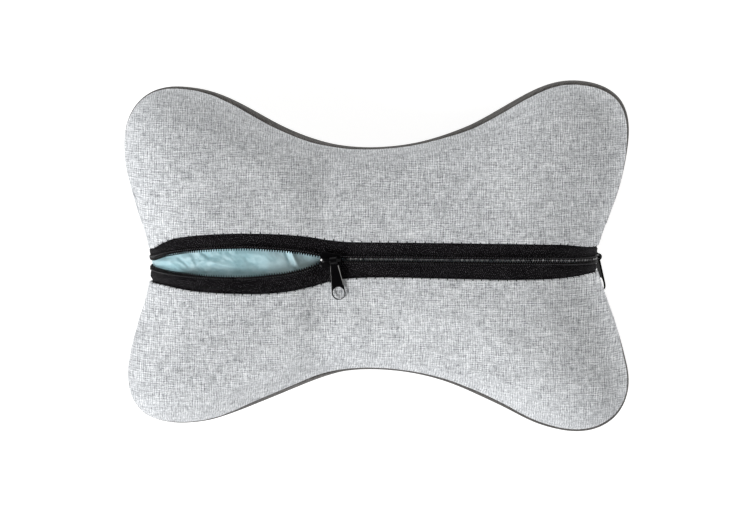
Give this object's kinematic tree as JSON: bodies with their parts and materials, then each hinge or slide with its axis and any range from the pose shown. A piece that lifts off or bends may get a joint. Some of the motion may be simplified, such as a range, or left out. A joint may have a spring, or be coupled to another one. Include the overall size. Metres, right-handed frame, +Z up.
{
  "type": "car neck pillow",
  "caption": "Bone-shaped stuffed car neck pillow with a half-open zip across its pale back, a dark front face and a lined inner cushion.",
  "frame": {"origin": "under the middle of the pillow, on the surface it lies on", "axes": "+X along the zip, away from its open end; +Y across the zip; +Z up, out of the zipped back"},
  "size_m": [0.2992, 0.2082, 0.0982],
  "materials": {
    "grey_linen": "light grey melange linen-look weave",
    "charcoal_linen": "dark brown-grey melange weave",
    "aqua_lining": "pale aqua woven lining with a soft sheen",
    "zip_tape": "black knitted tape",
    "zip_coil": "black nylon monofilament",
    "black_lacquer": "glossy black lacquered zinc"
  },
  "bodies": {
    "root": {"front_panel": "charcoal_linen", "back_panel_upper": "grey_linen", "back_panel_lower": "grey_linen", "inner_cushion": "aqua_lining", "zip_tape_upper": "zip_tape", "zip_tape_lower": "zip_tape", "zip_coil_upper": "zip_coil", "zip_coil_lower": "zip_coil", "zip_slider": "black_lacquer", "side_slider": "black_lacquer"},
    "pull_tab": {"zip_pull_tab": "black_lacquer"},
    "side_pull_tab": {"side_pull_tab": "black_lacquer"}
  },
  "joints": [
    {"name": "pull_tab_swing", "type": "hinge", "parent": "root", "child": "pull_tab", "pos_m": [-0.02385, 0.0001, 0.09444], "axis": [-0.9852, -0.1305, -0.1108], "range_deg": [0, 198]},
    {"name": "side_pull_tab_swing", "type": "hinge", "parent": "root", "child": "side_pull_tab", "pos_m": [0.13108, -0.00161, 0.02536], "axis": [0.39, -0.0871, 0.9167], "range_deg": [-10, 160]}
  ]
}
